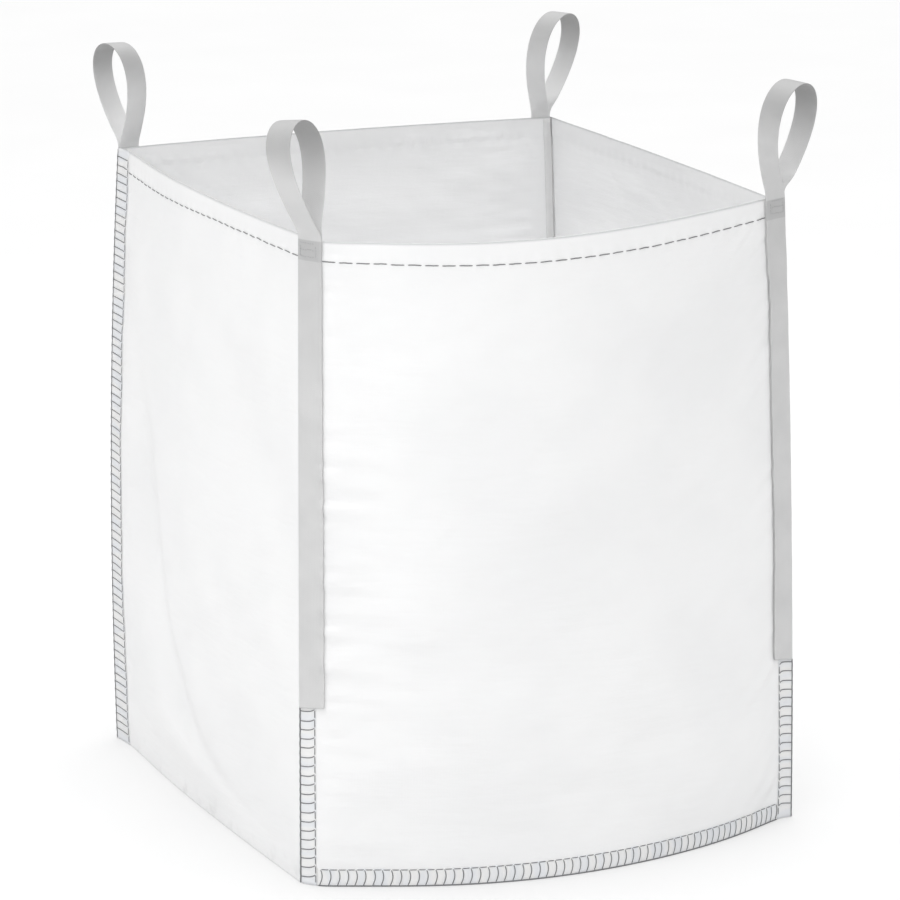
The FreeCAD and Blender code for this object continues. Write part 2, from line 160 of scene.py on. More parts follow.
def wall_plan(wall, share, level):
    """Plan position on a wall and the outward direction there, from shares of its width and height."""
    first, last, (top, top_lean), (bottom, bottom_lean), _ = WALLS[wall]
    share, level = np.broadcast_arrays(np.asarray(share, float), np.asarray(level, float))
    start, chord = corner_at(first, level), corner_at(last, level) - corner_at(first, level)
    length = np.linalg.norm(chord, axis=-1, keepdims=True)
    off = np.stack([chord[..., 1], -chord[..., 0]], -1) / length
    bulge = bottom + (top - bottom) * level + BELLY * 4 * level * (1 - level)
    lean = bottom_lean + (top_lean - bottom_lean) * level
    arch, tilt = 4 * share * (1 - share), 1 + lean * (2 * share - 1)
    slope = bulge * (4 * (1 - 2 * share) * tilt + arch * 2 * lean)
    stand = bulge * arch * tilt
    if wall == "front":
        for (low, high, reach), away, sign in ((FIRST_SLOPE, share, 1), (SECOND_SLOPE, 1 - share, -1)):
            steep = (low + (high - low) * level ** 2) * np.exp(-away / reach)
            stand = stand + steep * away
            slope = slope + sign * steep * (1 - away / reach)
    place = start + chord * share[..., None] + off * stand[..., None]
    along = chord + off * slope[..., None]
    along /= np.linalg.norm(along, axis=-1, keepdims=True)
    return place, np.stack([along[..., 1], -along[..., 0]], -1)


LEVELS, SHARES = np.linspace(0, 1, 13), np.linspace(0, 1, 481)


def measure_walls():
    """Length along each wall from its first corner, at several heights."""
    tables = {}
    for wall in WALLS:
        plan = wall_plan(wall, SHARES[None, :], LEVELS[:, None])[0]
        steps = np.linalg.norm(np.diff(plan, axis=1), axis=-1)
        tables[wall] = np.concatenate([np.zeros((len(LEVELS), 1)), np.cumsum(steps, axis=1)], axis=1)
    return tables


LENGTHS = measure_walls()


def wall_length(wall, z):
    """The wall's whole length at a height."""
    return np.interp(np.asarray(z) / RIM, LEVELS, LENGTHS[wall][:, -1])


def wall_share(wall, distance, z):
    """Share of the wall's width that lies a distance (m) from its first corner."""
    distance, level = np.broadcast_arrays(np.asarray(distance, float), np.asarray(z, float) / RIM)
    rows = np.stack([np.interp(distance, row, SHARES) for row in LENGTHS[wall]])
    place = np.clip(level, 0, 1) * (len(LEVELS) - 1)
    low = np.minimum(place.astype(int), len(LEVELS) - 2)
    part = place - low
    pick = np.take_along_axis
    return pick(rows, low[None], 0)[0] * (1 - part) + pick(rows, low[None] + 1, 0)[0] * part


def strap_wrinkles(distance, z, seed, slant):
    """Short creases that start at a strap's edge and fade away from it."""
    reach = np.exp(-np.maximum(distance - WEBBING, 0) / 0.085) * smooth((distance - 0.03) / 0.02)
    height = z + slant * distance
    ridges = np.abs(dents(distance, height, 0.13, 0.021, seed))
    ridges = ridges + 0.6 * dents(distance, height, 0.07, 0.012, seed + 1)
    strength = 0.55 + 0.45 * dents(distance * 0, z, 1.0, 0.16, seed + 2)
    return reach * ridges * strength


def relief(wall, before, after, z):
    """How far the cloth stands off the wall's smooth shape, before and after being the distances (m)
    to its two corners."""
    edge = smooth(np.minimum(before, after) / 0.10) * smooth(z / 0.09) * smooth((RIM - z) / 0.10)
    seed = 10 * list(WALLS).index(wall)
    # Broad dents, slanting folds and fine crinkles, none of them at the wall's edges.
    stand = 0.0060 * dents(before, z, 0.26, 0.34, seed) * edge
    stand += 0.0032 * dents(before + 0.5 * z, z, 0.16, 0.09, seed + 1) * edge
    stand += 0.0010 * dents(before - z, z, 0.05, 0.035, seed + 2) * edge
    seam = smooth(np.minimum(before, after) / 0.02)
    inner = smooth(z / 0.05) * smooth((RIM - z) / 0.05)
    # Pulls beside the straps of the sewn panels, and slight ones beside the seams of the side walls.
    if wall in ("front", "back"):
        clear = smooth((before - 0.4 * WEBBING) / WEBBING), smooth((after - 0.4 * WEBBING) / WEBBING)
        stand += 0.0085 * strap_wrinkles(before, z, seed + 3, 0.10) * inner * clear[0]
        stand += 0.0055 * strap_wrinkles(after, z, seed + 6, 0.75) * inner * clear[1]
    else:
        stand += 0.0008 * strap_wrinkles(before + WEBBING, z, seed + 3, 0.4) * inner * seam
        stand += 0.0008 * strap_wrinkles(after + WEBBING, z, seed + 6, 0.4) * inner * seam
    # The left wall's long soft valley, and its turn beside the back left seam.
    if wall == "left":
        level = z / RIM
        valley = wall_length(wall, z) * (0.12 + 0.055 / (level + 0.04))
        depth = 0.0220 * smooth((level - 0.03) / 0.15) * smooth((0.78 - level) / 0.35)
        stand -= depth * np.exp(-((before - valley) / 0.070) ** 2) * smooth(before / 0.08)
        stand -= TUCK * before * np.exp(-before / TUCK_REACH)
    # Puckers at the hem stitches, and an uneven hem.
    pucker = np.cos(2 * math.pi * before / HEM_PITCH) + 0.8 * dents(before, z * 0, 0.045, 1, seed + 8)
    stand -= 0.0007 * pucker * np.exp(-((z - HEM_LINE) / 0.011) ** 2) * seam
    stand += 0.0009 * dents(before, z * 0, 0.06, 1, seed + 9) * smooth((z - HEM_LINE) / 0.02) * seam
    return stand


def lay(wall, distance, z, out):
    """Points at a distance (m) from the wall's first corner, a height, and a distance off the cloth."""
    distance, z, out = np.broadcast_arrays(*(np.asarray(a, float) for a in (distance, z, out)))
    share = wall_share(wall, distance, z)
    plan, outward = wall_plan(wall, share, z / RIM)
    level = np.minimum(z, RIM)
    stand = relief(wall, distance, np.maximum(wall_length(wall, z) - distance, 0), level) + out
    first, middle, last = WALLS[wall][4]
    rise = (first * (1 - share) * (1 - 2 * share) + middle * 4 * share * (1 - share)
            + last * share * (2 * share - 1))
    return np.concatenate([plan + outward * stand[..., None], (z + rise * smooth(z / RIM))[..., None]], -1)


def facing(wall, distance, z):
    """The wall's outward direction at a place."""
    plan = wall_plan(wall, wall_share(wall, distance, z), np.asarray(z, float) / RIM)[1]
    return np.concatenate([plan, np.zeros(plan.shape[:-1] + (1,))], -1)


def from_corner(wall, end, distance, z):
    """Distance from the wall's first corner, of a place a distance from its first (0) or second (1) one."""
    return wall_length(wall, z) - distance if end else distance + 0 * np.asarray(z, float)


# ---------------------------------------------------------------- meshes

def make_object(name, points, faces, uv, material, body="bag", wear_and_shade=None):
    """One piece as a mesh with its cloth coordinates, riding on a body unless that is None."""
    mesh = bpy.data.meshes.new(name)
    mesh.from_pydata(points.reshape(-1, 3).tolist(), [], faces)
    layer = mesh.uv_layers.new(name="cloth")
    corners = np.zeros(len(mesh.loops), int)
    mesh.loops.foreach_get("vertex_index", corners)
    layer.data.foreach_set("uv", uv.reshape(-1, 2)[corners].ravel())
    if wear_and_shade is not None:
        mesh.attributes.new("wear_and_shade", "FLOAT", "POINT").data.foreach_set("value", wear_and_shade)
    mesh.shade_smooth()
    mesh.materials.append(material)
    mesh.validate()
    obj = bpy.data.objects.new(name, mesh)
    bpy.context.scene.collection.objects.link(obj)
    if body:
        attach(obj, body)
    return obj


def cloth_faces(shape, start=0):
    """Faces of a closed thin piece over a grid: its front, its back and its four narrow edges."""
    rows, columns = shape
    size = rows * columns
    index = np.arange(size).reshape(shape) + start
    a, b, c, d = index[:-1, :-1], index[1:, :-1], index[1:, 1:], index[:-1, 1:]
    front = np.stack([a, b, c, d], -1).reshape(-1, 4)
    back = np.stack([a, d, c, b], -1).reshape(-1, 4) + size
    ring = np.concatenate([index[0, :-1], index[:-1, -1], index[-1, :0:-1], index[:0:-1, 0]])
    after = np.roll(ring, -1)
    edge = np.stack([ring, after, after + size, ring + size], -1)
    return np.concatenate([front, back, edge]).tolist()


def grid_normals(grid):
    """Unit normals at the points of a grid."""
    normal = np.cross(np.gradient(grid, axis=0), np.gradient(grid, axis=1))
    return normal / np.linalg.norm(normal, axis=-1, keepdims=True)


def build_cloth(name, grid, half, uv, material, body="bag", wear_and_shade=None):
    """A closed thin piece round a grid of middle points; its front faces rows x columns. Wear and shade,
    if given, is how much darker its front and back are painted: wear, and painted shade on the straps."""
    if wear_and_shade is not None:
        wear_and_shade = np.concatenate([np.broadcast_to(part, grid.shape[:2]).ravel() for part in wear_and_shade])
    normal = grid_normals(grid)
    half = np.broadcast_to(half, grid.shape[:2])[..., None]
    points = np.concatenate([(grid + normal * half).reshape(-1, 3), (grid - normal * half).reshape(-1, 3)])
    uv = np.concatenate([uv.reshape(-1, 2)] * 2)
    return make_object(name, points, cloth_faces(grid.shape[:2]), uv, material, body, wear_and_shade)


def tube_parts(paths, up, width, height):
    """Vertices and uv of rounded threads along equal-length paths, narrowing at both ends."""
    along = np.gradient(paths, axis=1)
    along /= np.linalg.norm(along, axis=-1, keepdims=True)
    across = np.cross(up, along)
    across /= np.linalg.norm(across, axis=-1, keepdims=True)
    turn = np.arange(THREAD_SIDES) / THREAD_SIDES * 2 * math.pi
    count = paths.shape[1]
    narrow = np.minimum(1.0, 0.35 + np.minimum(np.arange(count), np.arange(count)[::-1]) / 1.5)
    ring = (across[:, :, None] * (np.cos(turn) * width / 2)[:, None]
            + up[:, :, None] * (np.sin(turn) * height / 2)[:, None])
    points = paths[:, :, None] + ring * narrow[None, :, None, None]
    lengths = np.cumsum(np.linalg.norm(np.diff(paths, axis=1, prepend=paths[:, :1]), axis=-1), axis=1)
    uv = np.stack(np.broadcast_arrays(turn / (2 * math.pi), lengths[:, :, None]), -1)
    return points, uv


def tube_faces(threads, count):
    """Faces of closed threads, each of count rings."""
    faces = []
    sides = THREAD_SIDES
    rings, around = np.arange(count - 1)[:, None], np.arange(sides)[None, :]
    a = rings * sides + around
    b = rings * sides + (around + 1) % sides
    quads = np.stack([a, a + sides, b + sides, b], -1).reshape(-1, 4)
    for start in range(0, threads * count * sides, count * sides):
        faces += (quads + start).tolist()
        faces.append([start + k for k in range(sides)])
        faces.append([start + (count - 1) * sides + k for k in range(sides)][::-1])
    return faces


def build_threads(name, groups, material, width=THREAD, height=0.0008):
    """One object of many threads. Each group is an array of equal-length paths and its up directions."""
    points, uvs, faces = [], [], []
    start = 0
    for paths, up in groups:
        part, uv = tube_parts(paths, up, width, height)
        faces += [[start + k for k in face] for face in tube_faces(*paths.shape[:2])]
        points.append(part.reshape(-1, 3))
        uvs.append(uv.reshape(-1, 2))
        start += len(points[-1])
    return make_object(name, np.concatenate(points), faces, np.concatenate(uvs), material)


# ---------------------------------------------------------------- materials

class Nodes:
    """Short hand for building one material's node tree."""

    def __init__(self, name):
        self.material = bpy.data.materials.new(name)
        self.material.use_nodes = True
        self.tree = self.material.node_tree
        self.shader = self.tree.nodes["Principled BSDF"]

    def add(self, kind, inputs=None, **settings):
        node = self.tree.nodes.new(kind)
        for key, setting in settings.items():
            setattr(node, key, setting)
        for key, source in (inputs or {}).items():
            self.feed(node.inputs[key], source)
        return node

    def feed(self, socket, source):
        if isinstance(source, bpy.types.NodeSocket):
            self.tree.links.new(source, socket)
        else:
            socket.default_value = source

    def math(self, operation, first, second=0.0, third=0.0):
        node = self.add("ShaderNodeMath", {0: first, 1: second, 2: third}, operation=operation)
        return node.outputs[0]

    def noise(self, vector, scale, detail=2.0):
        inputs = {"Vector": vector, "Scale": scale, "Detail": detail}
        return self.add("ShaderNodeTexNoise", inputs).outputs["Fac"]

    def stretched(self, vector, scale):
        return self.add("ShaderNodeMapping", {"Vector": vector, "Scale": scale}).outputs[0]

    def wear_and_shade(self):
        """How much darker a piece is painted at a point: wear, and painted shade on the straps."""
        return self.add("ShaderNodeAttribute", attribute_name="wear_and_shade").outputs["Fac"]

    def mix(self, share, first, second):
        node = self.add("ShaderNodeMix", {0: share}, data_type="RGBA")
        self.feed(node.inputs[6], first)
        self.feed(node.inputs[7], second)
        return node.outputs[2]

    def ramp(self, source, low, high):
        """0 at low, 1 at high, smooth between."""
        node = self.add("ShaderNodeMapRange", {"Value": source, "From Min": low, "From Max": high},
                        interpolation_type="SMOOTHSTEP")
        return node.outputs[0]

    def bump(self, height, distance, strength=1.0, onto=None):
        node = self.add("ShaderNodeBump", {"Height": height, "Distance": distance, "Strength": strength})
        if onto is not None:
            self.feed(node.inputs["Normal"], onto)
        return node.outputs[0]

    def uv(self):
        """The piece's own cloth coordinates in metres: across it and along it, and both as one vector."""
        source = self.add("ShaderNodeUVMap", uv_map="cloth").outputs[0]
        parts = self.add("ShaderNodeSeparateXYZ", {0: source})
        return source, parts.outputs[0], parts.outputs[1]

    def place(self):
        return self.add("ShaderNodeTexCoord").outputs["Object"]

    def finish(self, **inputs):
        for key, source in inputs.items():
            self.feed(self.shader.inputs[key.replace("_", " ")], source)
        return self.material


def grey(value, tint=0.0):
    """A grey as linear colour; a positive tint is bluish."""
    return (value * (1 - tint), value * (1 - tint * 0.4), value * (1 + tint * 0.6), 1.0)


def weave(nodes, across, along, tape):
    """Height of a plain weave of flat tapes, each a tape's width apart."""
    warp = nodes.math("ABSOLUTE", nodes.math("SINE", nodes.math("MULTIPLY", across, math.pi / tape)))
    weft = nodes.math("ABSOLUTE", nodes.math("SINE", nodes.math("MULTIPLY", along, math.pi / tape)))
    column = nodes.math("FLOOR", nodes.math("DIVIDE", across, tape))
    row = nodes.math("FLOOR", nodes.math("DIVIDE", along, tape))
    parity = nodes.math("FLOORED_MODULO", nodes.math("ADD", column, row), 2.0)
    over = nodes.math("MULTIPLY", warp, parity)
    under = nodes.math("MULTIPLY", weft, nodes.math("SUBTRACT", 1.0, parity))
    return nodes.math("ADD", over, under)


def fabric_material():
    """White coated woven polypropylene."""
    nodes = Nodes("coated_woven_fabric")
    _, across, along = nodes.uv()
    place = nodes.place()
    tapes = weave(nodes, across, along, 0.0025)
    streaks = nodes.noise(nodes.stretched(place, (1.0, 1.0, 6.0)), 9.0, 4.0)
    cloudy = nodes.noise(place, 4.0, 3.0)
    tone = nodes.mix(nodes.ramp(cloudy, 0.35, 0.65), grey(0.915, 0.004), grey(0.945, 0.002))
    # Painted shade in the hollows between the woven tapes.
    tone = nodes.mix(nodes.math("MULTIPLY", nodes.ramp(tapes, 0.55, 0.0), 0.10), tone, grey(0.80, 0.01))
    tone = nodes.mix(nodes.math("MULTIPLY", nodes.wear_and_shade(), 0.75), tone, grey(0.50, 0.01))
    height = nodes.add("ShaderNodeSeparateXYZ", {0: place}).outputs[2]
    specks = nodes.ramp(nodes.noise(place, 30.0, 5.0), 0.5, 0.75)
    scuffed = nodes.math("MULTIPLY", nodes.ramp(height, 0.05, 0.0), specks)
    tone = nodes.mix(nodes.math("MULTIPLY", scuffed, 0.35), tone, grey(0.62))
    rough = nodes.math("MULTIPLY_ADD", streaks, 0.20, 0.26)
    crinkle = nodes.bump(streaks, 0.004, 0.35)
    return nodes.finish(Base_Color=tone, Roughness=rough, Specular_IOR_Level=0.55, Coat_Weight=0.20,
                        Coat_Roughness=0.25, Normal=nodes.bump(tapes, 0.00012, 0.5, crinkle))


def binding_material():
    """White seam binding, with a faint blue shade and fine ribs across it."""
    nodes = Nodes("seam_binding")
    source, _, along = nodes.uv()
    ribs = nodes.math("SINE", nodes.math("MULTIPLY", along, 2 * math.pi / 0.0016))
    patches = nodes.noise(nodes.stretched(source, (8.0, 40.0, 1.0)), 1.0, 2.0)
    tone = nodes.mix(nodes.ramp(patches, 0.40, 0.60), grey(0.86, 0.030), grey(0.89, -0.005))
    surface = nodes.math("ADD", ribs, nodes.noise(nodes.place(), 300.0, 3.0))
    return nodes.finish(Base_Color=tone, Roughness=0.6, Normal=nodes.bump(surface, 0.00012, 0.6))


def webbing_material(name, paler):
    """Grey woven webbing: lengthwise ribs, a herringbone, painted shade in its grooves, on the loops and
    towards the rim, and a darker tacked patch. The length along it counts from the rim."""
    nodes = Nodes(name)
    _, across, along = nodes.uv()
    place = nodes.place()
    ribs = nodes.math("ABSOLUTE", nodes.math("SINE", nodes.math("MULTIPLY", across, math.pi / 0.0025)))
    zigzag = nodes.math("PINGPONG", across, 0.005)
    slanted = nodes.math("ADD", along, zigzag)
    picks = nodes.math("SINE", nodes.math("MULTIPLY", slanted, 2 * math.pi / 0.003))
    surface = nodes.math("ADD", ribs, nodes.math("MULTIPLY", picks, 0.5))
    mottled = nodes.noise(place, 18.0, 3.0)
    tone = nodes.mix(nodes.ramp(mottled, 0.3, 0.7), grey(0.625 + paler, 0.002), grey(0.67 + paler))
    # Painted shade in the grooves between the ribs and picks.
    tone = nodes.mix(nodes.math("MULTIPLY", nodes.ramp(surface, 0.9, 0.0), 0.14), tone, grey(0.45))
    below_rim = nodes.ramp(along, 0.001, -0.002)
    # Painted shade: the strap grows darker from 0.30 m below the rim up to the rim, under the loop.
    painted_shade_near_rim = nodes.math("MULTIPLY", nodes.ramp(along, -0.30, -0.03), below_rim)
    tone = nodes.mix(nodes.math("MULTIPLY", painted_shade_near_rim, 0.30), tone, grey(0.47))
    # Painted shade: the loop's crest, and the inside of the loop on its back face, darker in colour.
    tone = nodes.mix(nodes.math("MULTIPLY", nodes.wear_and_shade(), 0.9), tone, grey(0.28))
    patch = nodes.math("MULTIPLY", nodes.ramp(along, -0.0350, -0.0335), below_rim)
    tone = nodes.mix(nodes.math("MULTIPLY", patch, 0.42), tone, grey(0.38, 0.01))
    return nodes.finish(Base_Color=tone, Roughness=nodes.math("MULTIPLY_ADD", mottled, 0.15, 0.48),
                        Sheen_Weight=0.15, Normal=nodes.bump(surface, 0.00018, 0.7))


def thread_material(name, value, tint):
    """Multifilament thread with a twist."""
    nodes = Nodes(name)
    _, around, along = nodes.uv()
    turn = nodes.math("MULTIPLY", around, 2 * math.pi)
    twist = nodes.math("SINE", nodes.math("ADD", turn, nodes.math("MULTIPLY", along, 2 * math.pi / 0.0022)))
    # Painted light and shade: lighter on the twist's ridges, darker in its grooves.
    tone = nodes.mix(nodes.ramp(twist, -1.0, 1.0), grey(value * 0.8, tint), grey(value * 1.15, tint))
    return nodes.finish(Base_Color=tone, Roughness=0.55, Normal=nodes.bump(twist, 0.00015, 0.8))


def tape_material():
    """Plain grey seam tape."""
    nodes = Nodes("inner_seam_tape")
    _, across, along = nodes.uv()
    grain = weave(nodes, across, along, 0.0018)
    tone = nodes.mix(nodes.ramp(nodes.noise(nodes.place(), 25.0, 3.0), 0.3, 0.7), grey(0.75), grey(0.80))
    return nodes.finish(Base_Color=tone, Roughness=0.6, Normal=nodes.bump(grain, 0.00015, 0.6))


# ---------------------------------------------------------------- cloth

HEM_LAP = np.concatenate([np.linspace(0, 0.96, 12), [0.98, 0.99, 0.997, 1]])     # down inside the hem


def rim_path(bottom):
    """Section of a wall at the cloth's middle: up the wall, over the rim and down the inside of the hem.
    Gives the distance off the wall, the height, half the thickness and how much wear the fold shows."""
    half = CLOTH / 2
    fold_z = RIM - FOLD - half
    fine = RIM - 0.10       # closer rows above this, over the hem
    heights = np.concatenate([np.linspace(bottom, fine, 130), np.linspace(fine, fold_z, 26)[1:]])
    turn = np.linspace(0, math.pi, 8)[1:]
    close = smooth((HEM_LAP[1:] - 0.75) / 0.25)
    out = np.concatenate([np.full(len(heights), -half), -half - FOLD + FOLD * np.cos(turn),
                          -half - 2 * FOLD + (2 * FOLD - half - 0.00012) * close])
    inside = fold_z + (RIM - HEM_TURN - fold_z) * HEM_LAP[1:]
    z = np.concatenate([heights, fold_z + FOLD * np.sin(turn), inside])
    thickness = np.full(len(z), half)
    thickness[-len(close):] -= (half - 0.00006) * close
    wear_and_shade = np.zeros(len(z))
    wear_and_shade[len(heights) - 1:len(heights) + len(turn)] = 1.0
    return out, z, thickness, wear_and_shade


def path_lengths(out, z):
    """Length along a wall's section from its bottom."""
    return np.concatenate([[0], np.cumsum(np.hypot(np.diff(out), np.diff(z)))])


def build_sewn_panel(wall, material):
    """The front or back panel, with its hem."""
    out, z, half, wear_and_shade = rim_path(0.0)
    wear_and_shade[0] = 1.0
    share = np.linspace(0, 1, 201)
    distance = share[:, None] * wall_length(wall, z)[None, :]
    grid = lay(wall, distance, z[None, :], out[None, :])
    uv = np.stack(np.broadcast_arrays(distance, path_lengths(out, z)[None, :]), -1)
    panel = build_cloth(f"{wall}_cloth", grid, half[None, :], uv, material, wear_and_shade=(wear_and_shade, wear_and_shade))
    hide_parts(f"{wall}_panel")
    return panel


SEAM_GAP = 0.0016       # the side walls and the base stop this far from the corners and the sewn-in panels


def side_wall_grid(wall, shares):
    """A side wall of the U-shaped cloth, rows from its first corner to its second, with its half thickness
    and wear from the bottom up."""
    out, z, half, wear_and_shade = rim_path(FOLD * 3)
    turn = np.linspace(math.pi / 2, 0, 6)[:-1]
    out = np.concatenate([-CLOTH / 2 - FOLD * 2.4 * (1 - np.cos(turn)), out])
    z = np.concatenate([CLOTH / 2 + (FOLD * 3 - CLOTH / 2) * (1 - np.sin(turn)), z])
    half = np.concatenate([np.full(len(turn), CLOTH / 2), half])
    wear_and_shade = np.concatenate([np.full(len(turn), 0.8), wear_and_shade])
    length = wall_length(wall, z)[None, :]
    distance = SEAM_GAP + shares[:, None] * (length - 2 * SEAM_GAP)
    return lay(wall, distance, z[None, :], out[None, :]), half, wear_and_shade


def base_grid(near, far, columns):
    """The base between the side walls' bottom edges, its free edges following the sewn-in panels."""
    across = np.linspace(0, 1, columns)[None, :, None]
    grid = near[:, None] * (1 - across) + far[:, None] * across
    back_share = np.linspace(0, 1, len(near))[:, None, None]
    for wall, weight in (("front", back_share), ("back", 1 - back_share)):
        length = wall_length(wall, 0.0)
        distance = np.linspace(0, 1, columns) * length
        edge = lay(wall, distance if wall == "front" else length - distance, 0.0, -CLOTH - SEAM_GAP / 3)
        row = grid[-1] if wall == "front" else grid[0]
        shift = edge - row
        shift -= shift[0] * (1 - across[0]) + shift[-1] * across[0]
        grid = grid + weight * shift[None]
    grid[..., 2] = CLOTH / 2
    return grid


def build_u_cloth(material):
    """Left wall, base and right wall in one length of cloth."""
    shares = np.linspace(0, 1, 141)
    left, half, wear_and_shade = side_wall_grid("left", shares)
    right = side_wall_grid("right", shares)[0][::-1]
    base = base_grid(left[:, 0], right[:, 0], 113)[:, 1:-1]
    grid = np.concatenate([left[:, ::-1], base, right], axis=1)
    half = np.concatenate([half[::-1], np.full(base.shape[1], CLOTH / 2), half])
    wear_and_shade = np.concatenate([wear_and_shade[::-1], np.zeros(base.shape[1]), wear_and_shade])
    steps = np.linalg.norm(np.diff(grid[len(shares) // 2], axis=0), axis=-1)
    along = np.concatenate([[0], np.cumsum(steps)])
    uv = np.stack(np.broadcast_arrays(shares[:, None] * 2 * HALF, along[None, :]), -1)
    cloth = build_cloth("u_cloth", grid[::-1], half[None, :], uv[::-1], material, wear_and_shade=(wear_and_shade, wear_and_shade))
    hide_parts("u_panel")
    return cloth


# ---------------------------------------------------------------- seams

BINDING_LEVEL = 0.00055     # height of the binding's middle off the cloth
BINDING_HALF = 0.0004       # half its thickness
THREAD_LEVEL = 0.0015       # height of the threads off the cloth
JITTER = 0.0012             # how far a cross thread strays
PURL_WIDTHS = {"front_left": 0.0030, "front_right": 0.0022, "back_left": 0.0020, "back_right": 0.0020}


def crowned(width_points, full, edge=0.35):
    """Half thickness across a strip that thins out at its two edges."""
    across = np.abs(width_points)
    return full * (edge + (1 - edge) * np.sqrt(np.clip(1 - across ** 6, 0, 1)))


def build_upright_seam(corner, wall, end, width, thread_top, materials):
    """Binding down a corner seam, and the overlock thread over it up to a height."""
    side = np.linspace(-1, 1, 15)
    z = np.linspace(0.0005, RIM - 0.0005, 220)
    distance = (side + 1) / 2 * width + (0 if wall == "front" else SEAM_GAP)
    grid = lay(wall, from_corner(wall, end, distance[:, None], z[None, :]), z[None, :], BINDING_LEVEL)
    uv = np.stack(np.broadcast_arrays(distance[:, None], z[None, :]), -1)
    if end:
        grid, uv = grid[::-1], uv[::-1]
    half = crowned(side, BINDING_HALF)[:, None]
    strip = build_cloth(f"{corner}_seam_binding", grid, half, uv, materials["binding"])
    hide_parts(f"{corner}_binding")

    start = distance[0]
    pitch = STITCH_PITCHES[wall]
    start_at = thread_top - (0.008 if wall == "front" else 0.016)
    first = start_at - pitch * np.arange(int((start_at - 0.010) / pitch) + 1)[:, None]
    share = np.linspace(0, 1, 16)[None, :]
    jitter = JITTER * dents(first, first * 0, 0.004, 1, 60 + len(corner) + end)
    across = start + 0.0012 + share * (width - 0.0034)
    height = np.clip(first + seam_rise(corner, share) + jitter, 0.0012, thread_top)
    cross = threads_on(wall, end, across, height, THREAD_LEVEL)
    line = np.linspace(0.001, thread_top - 0.0015, 260)[None, :]
    bump = THREAD_LEVEL - 0.0001 + 0.00035 * np.sin(line * 2 * math.pi / pitch)
    purl = threads_on(wall, end, start + 0.0009 + 0 * line, line, bump)
    stitch = np.linspace(-0.42, 0.42, 7)[None, :] * pitch
    knots = first + seam_rise(corner, 1.0) - pitch / 2 + stitch
    knots = knots[knots.min(axis=1) > 0.0006]
    dive = 0.0006 * (np.abs(stitch) / pitch > 0.4)
    needle = threads_on(wall, end, start + width - 0.0018 + 0 * knots, knots, THREAD_LEVEL - dive)
    finish_seam(corner, [cross, needle], purl, PURL_WIDTHS[corner], materials["seam_thread"])


def finish_seam(name, rows, purl, purl_width, material):
    """A seam's cross and needle threads, and the chain of loops along its outer edge."""
    thread = build_threads(f"{name}_overlock_thread", rows, material)
    purl_thread = build_threads(f"{name}_purl_thread", [purl], material, purl_width, 0.0010)
    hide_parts(f"{name}_overlock")


def threads_on(wall, end, distance, z, out):
    """Thread paths laid on a wall, and the outward direction along them."""
    distance, z, out = np.broadcast_arrays(distance, z, out)
    place = from_corner(wall, end, distance, z)
    return lay(wall, place, z, out), facing(wall, place, z)


def seam_rise(corner, share):
    """How a cross thread climbs from the seam's outer edge (share 0) to its needle line (share 1)."""
    if corner == "front_left":
        return 0.0022 * share + 0.0042 * share ** 5
    if corner == "front_right":
        return 0.0034 * share - 0.0050 * share ** 9
    if corner == "back_left":
        return 0.0018 * (1 - share) ** 2
    return 0.0080 * share ** 2


def build_bottom_seam(name, wall, inset, materials):
    """Binding along the bottom of the front or back panel, and its overlock thread."""
    side = np.linspace(-1, 1, 15)
    z = 0.0005 + (side + 1) / 2 * (BINDING - 0.0005)
    share = np.linspace(0, 1, 240)
    length = float(wall_length(wall, 0.01))
    distance = inset + share * (length - 2 * inset)
    grid = lay(wall, distance[:, None], z[None, :], BINDING_LEVEL)
    uv = np.stack(np.broadcast_arrays(z[None, :], distance[:, None]), -1)
    half = crowned(side, BINDING_HALF)[None, :]
    strip = build_cloth(f"{name}_seam_binding", grid, half, uv, materials["binding"])
    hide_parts(f"{name}_binding")

    count = round((length - 2 * inset - 0.010) / BOTTOM_PITCH) + 1
    first = np.linspace(inset + 0.004, length - inset - 0.006, count)[:, None]
    up = np.linspace(0, 1, 12)[None, :]
    lean = 0.0045 * np.sin(up * math.pi * 0.85) + JITTER * dents(first, first * 0, 0.004, 1, 80)
    cross = threads_on(wall, 0, first + lean, 0.0018 + up * (BINDING - 0.0040), THREAD_LEVEL)
    line = np.linspace(inset + 0.001, length - inset - 0.001, 300)[None, :]
    purl = threads_on(wall, 0, line, 0.0011 + 0 * line, THREAD_LEVEL)
    stitch = np.linspace(-0.42, 0.42, 7)[None, :] * BOTTOM_PITCH
    knots = first + 0.002 - BOTTOM_PITCH / 2 + stitch
    knots = knots[(knots.min(axis=1) > inset + 0.001) & (knots.max(axis=1) < length - inset - 0.001)]
    dive = 0.0006 * (np.abs(stitch) / BOTTOM_PITCH > 0.4)
    needle = threads_on(wall, 0, knots, BINDING - 0.0018 + 0 * knots, THREAD_LEVEL - dive)
    finish_seam(name, [cross, needle], purl, 0.0020, materials["seam_thread"])


def build_hem(wall, height, first_margin, last_margin, material):
    """The row of long stitches that holds the folded rim down."""
    length = float(wall_length(wall, height))
    count = round((length - first_margin - last_margin - HEM_STITCH) / HEM_PITCH) + 1
    first = np.linspace(first_margin, length - last_margin - HEM_STITCH, count)[:, None]
    share = np.linspace(0, 1, 12)[None, :]
    distance = first + share * HEM_STITCH
    wander = 0.0006 * dents(first, first * 0, 0.02, 1, 90)
    wander = wander + 0.0003 * dents(distance, distance * 0, 0.006, 1, 91)
    out = 0.00055 - 0.0005 * np.abs(2 * share - 1) ** 6
    turn = math.pi * distance / length
    sag = {"left": 0.0025 * np.sin(2 * turn), "front": 0.0065 * np.sin(turn) - 0.0015}.get(wall, 0)
    rows = threads_on(wall, 0, distance, height + wander - sag, out)
    stitches = build_threads(f"{wall}_hem_stitches", [rows], material, 0.0018, 0.0011)
    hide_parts(f"{wall}_hem_stitching")


